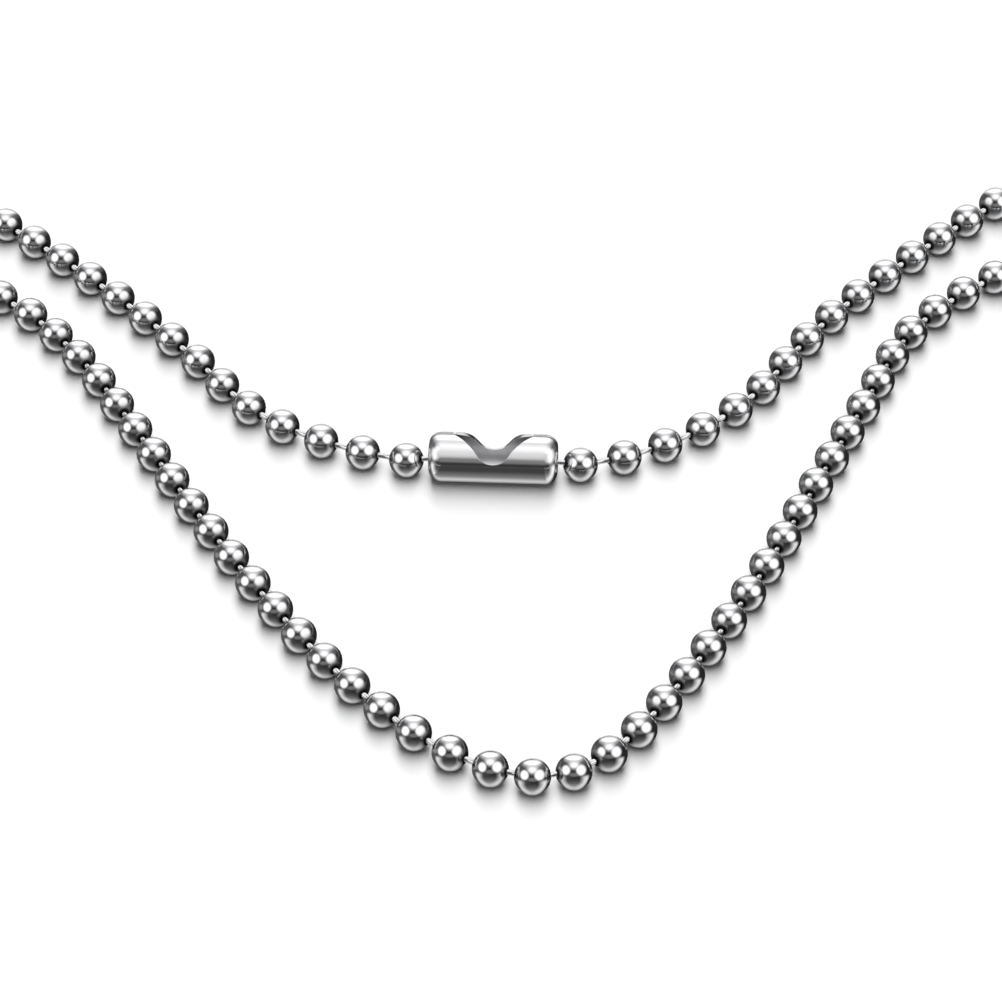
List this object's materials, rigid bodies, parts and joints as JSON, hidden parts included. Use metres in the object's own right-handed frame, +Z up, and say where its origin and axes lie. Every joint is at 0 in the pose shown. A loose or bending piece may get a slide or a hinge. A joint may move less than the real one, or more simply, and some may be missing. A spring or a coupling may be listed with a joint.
{
  "type": "ball chain necklace",
  "caption": "Necklace of hollow steel balls on short round-headed links, closed into a loop by a barrel clasp with an open mouth, lying flat.",
  "frame": {"origin": "middle of the laid loop's outline in plan, on the surface that it lies on", "axes": "+Z up, +X to the right along the loop's widest measure, -Y towards the rounded front of the V"},
  "size_m": [0.1562, 0.0958, 0.0046],
  "materials": {
    "ball_steel": "mirror-polished stainless steel with faint tumbling marks",
    "link_steel": "bright drawn stainless steel wire",
    "clasp_steel": "polished stainless steel sheet, satin grey inside the barrel"
  },
  "bodies": {
    "root": {"balls": "ball_steel", "links": "link_steel", "clasp": "clasp_steel"}
  },
  "joints": []
}
